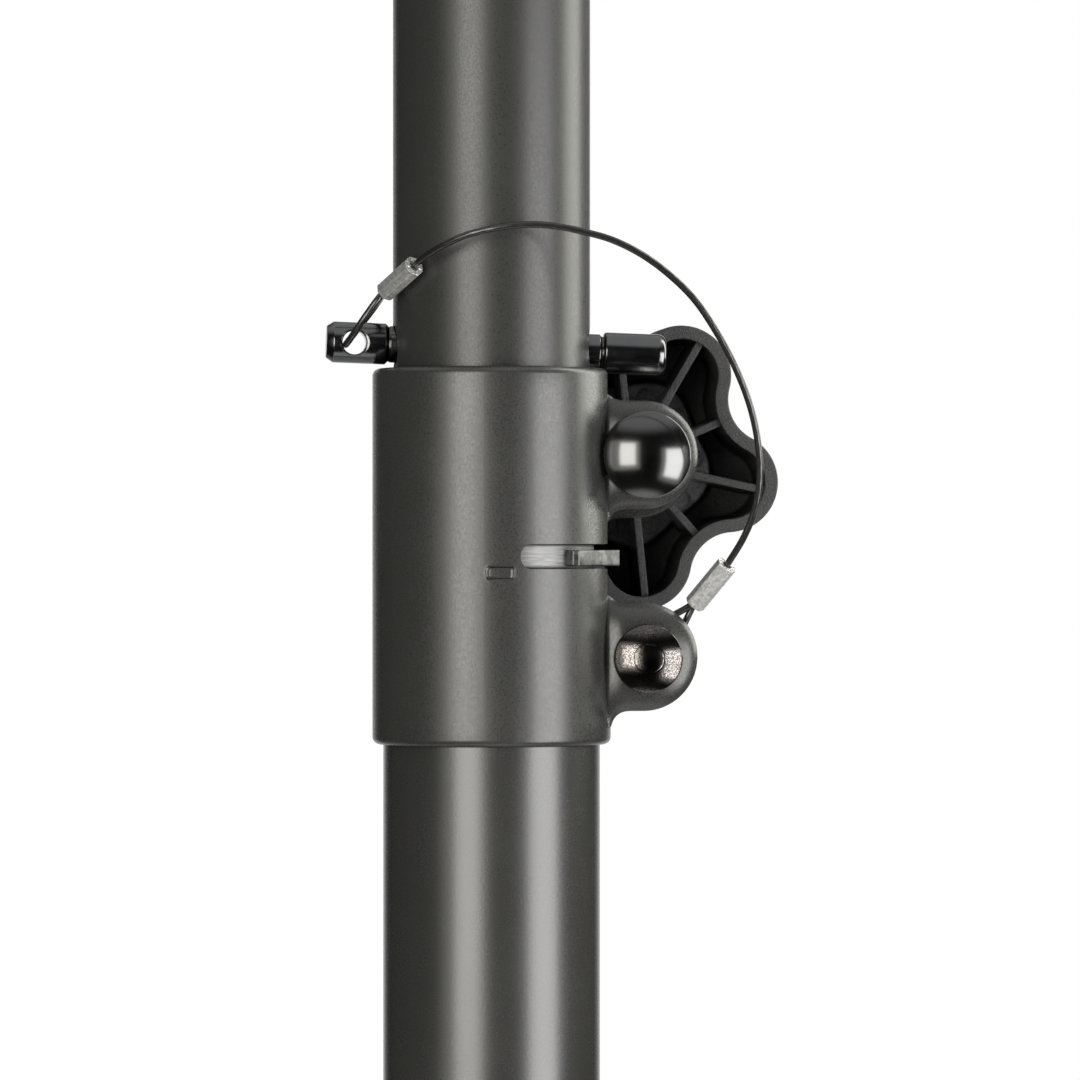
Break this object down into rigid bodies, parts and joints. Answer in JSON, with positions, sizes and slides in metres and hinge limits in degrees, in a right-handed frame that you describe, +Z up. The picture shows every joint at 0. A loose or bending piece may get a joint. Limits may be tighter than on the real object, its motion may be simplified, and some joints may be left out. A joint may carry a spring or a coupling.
{
  "type": "lighting stand",
  "caption": "Folding tripod lighting stand with a telescopic steel column, a split clamp collar with a lobed knob, and a lock pin tied by a wire lanyard.",
  "frame": {"origin": "on the column's axis at floor level, in the middle of the three feet", "axes": "+Z up along the column to the mast's top; +X towards the clamp collar's ears and knob bolt; -Y is the side of the bolt's domed head"},
  "size_m": [1.0254, 0.8917, 1.353],
  "materials": {
    "tube_coat": "satin dark anthracite powder coat on steel tube, fine grain",
    "collar_coat": "satin dark anthracite powder coat on pressed steel",
    "band_steel": "bright strip steel, brushed along its length",
    "black_nylon": "moulded black nylon",
    "gloss_black_steel": "polished gloss black plated steel",
    "black_oxide_steel": "oiled black oxide steel",
    "black_nickel": "black nickel plate, lightly worn",
    "casting_coat": "black powder coat on a die casting",
    "zinc_steel": "zinc plated steel",
    "turned_steel": "turned steel",
    "knob_nylon": "fine-textured dark grey glass-filled nylon",
    "insert_brass": "turned brass",
    "brace_coat": "satin dark anthracite powder coat on flat bar",
    "foot_rubber": "matt black rubber",
    "crimp_aluminium": "crimped aluminium with die marks",
    "wire_coat": "black coated stranded steel wire"
  },
  "bodies": {
    "base": {"base_tube": "tube_coat", "clamp_collar": "collar_coat", "clamp_band": "band_steel", "guide_bush": "black_nylon", "clamp_bolt": "gloss_black_steel", "clamp_washer": "black_oxide_steel", "collar_rivet": "black_nickel", "bottom_hub": "casting_coat", "hub_screws": "zinc_steel", "hub_pivot_bolts": "zinc_steel", "tube_end_plug": "black_nylon", "rivet_ferrule": "crimp_aluminium", "rivet_loop": "wire_coat", "lanyard_lower": "wire_coat"},
    "mast": {"mast_tube": "tube_coat", "top_plug": "black_nylon", "top_insert": "turned_steel", "mast_bottom_plug": "black_nylon", "lanyard_upper": "wire_coat"},
    "lock_pin": {"lock_pin": "black_oxide_steel", "pin_ferrule": "crimp_aluminium", "pin_loop": "wire_coat"},
    "clamp_knob": {"clamp_knob": "knob_nylon", "knob_insert": "insert_brass"},
    "spider": {"leg_spider": "casting_coat", "spider_bush": "black_nylon", "spider_pivot_bolts": "zinc_steel"},
    "spider_knob": {"spider_knob": "knob_nylon", "spider_screw": "zinc_steel"},
    "brace_1": {"brace_1": "brace_coat"},
    "leg_1": {"leg_tube_1": "tube_coat", "leg_top_1": "casting_coat", "foot_1": "foot_rubber", "leg_bolt_1": "zinc_steel"},
    "brace_2": {"brace_2": "brace_coat"},
    "leg_2": {"leg_tube_2": "tube_coat", "leg_top_2": "casting_coat", "foot_2": "foot_rubber", "leg_bolt_2": "zinc_steel"},
    "brace_3": {"brace_3": "brace_coat"},
    "leg_3": {"leg_tube_3": "tube_coat", "leg_top_3": "casting_coat", "foot_3": "foot_rubber", "leg_bolt_3": "zinc_steel"}
  },
  "joints": [
    {"name": "mast_slide", "type": "slide", "parent": "base", "child": "mast", "axis": [0, 0, 1], "range_m": [0, 0.045]},
    {"name": "lock_pin_pull", "type": "slide", "parent": "mast", "child": "lock_pin", "axis": [-0.9993, 0, 0.0375], "range_m": [0, 0.05]},
    {"name": "clamp_knob_turn", "type": "hinge", "parent": "base", "child": "clamp_knob", "pos_m": [0.0265, 0.03, 0.9839], "axis": [0, -1, 0], "range_deg": [0, 540]},
    {"name": "brace_1_fold", "type": "hinge", "parent": "base", "child": "brace_1", "pos_m": [0, 0.04, 0.07507], "axis": [1, 0, 0], "range_deg": [0, 49.5]},
    {"name": "leg_1_fold", "type": "hinge", "parent": "brace_1", "child": "leg_1", "pos_m": [0, 0.26852, 0.25361], "axis": [-1, 0, 0], "range_deg": [0, 99]},
    {"name": "brace_2_fold", "type": "hinge", "parent": "base", "child": "brace_2", "pos_m": [-0.03464, -0.02, 0.07507], "axis": [-0.5, 0.866, 0], "range_deg": [0, 49.5]},
    {"name": "leg_2_fold", "type": "hinge", "parent": "brace_2", "child": "leg_2", "pos_m": [-0.23255, -0.13426, 0.25361], "axis": [0.5, -0.866, 0], "range_deg": [0, 99]},
    {"name": "brace_3_fold", "type": "hinge", "parent": "base", "child": "brace_3", "pos_m": [0.03464, -0.02, 0.07507], "axis": [-0.5, -0.866, 0], "range_deg": [0, 49.5]},
    {"name": "leg_3_fold", "type": "hinge", "parent": "brace_3", "child": "leg_3", "pos_m": [0.23255, -0.13426, 0.25361], "axis": [0.5, 0.866, 0], "range_deg": [0, 99]},
    {"name": "spider_rise", "type": "hinge", "parent": "leg_1", "child": "spider", "pos_m": [0, 0.04, 0.43215], "axis": [1, 0, 0], "range_deg": [0, 49.5]},
    {"name": "spider_knob_turn", "type": "hinge", "parent": "spider", "child": "spider_knob", "pos_m": [0, -0.04, 0.46615], "axis": [0, -1, 0], "range_deg": [0, 540]}
  ],
  "couplings": [
    {"joint": "leg_1_fold", "follows": "brace_1_fold", "ratio": 2},
    {"joint": "leg_2_fold", "follows": "brace_1_fold", "ratio": 2},
    {"joint": "brace_2_fold", "follows": "brace_1_fold", "ratio": 1},
    {"joint": "leg_3_fold", "follows": "brace_1_fold", "ratio": 2},
    {"joint": "brace_3_fold", "follows": "brace_1_fold", "ratio": 1},
    {"joint": "spider_rise", "follows": "brace_1_fold", "ratio": 1}
  ]
}
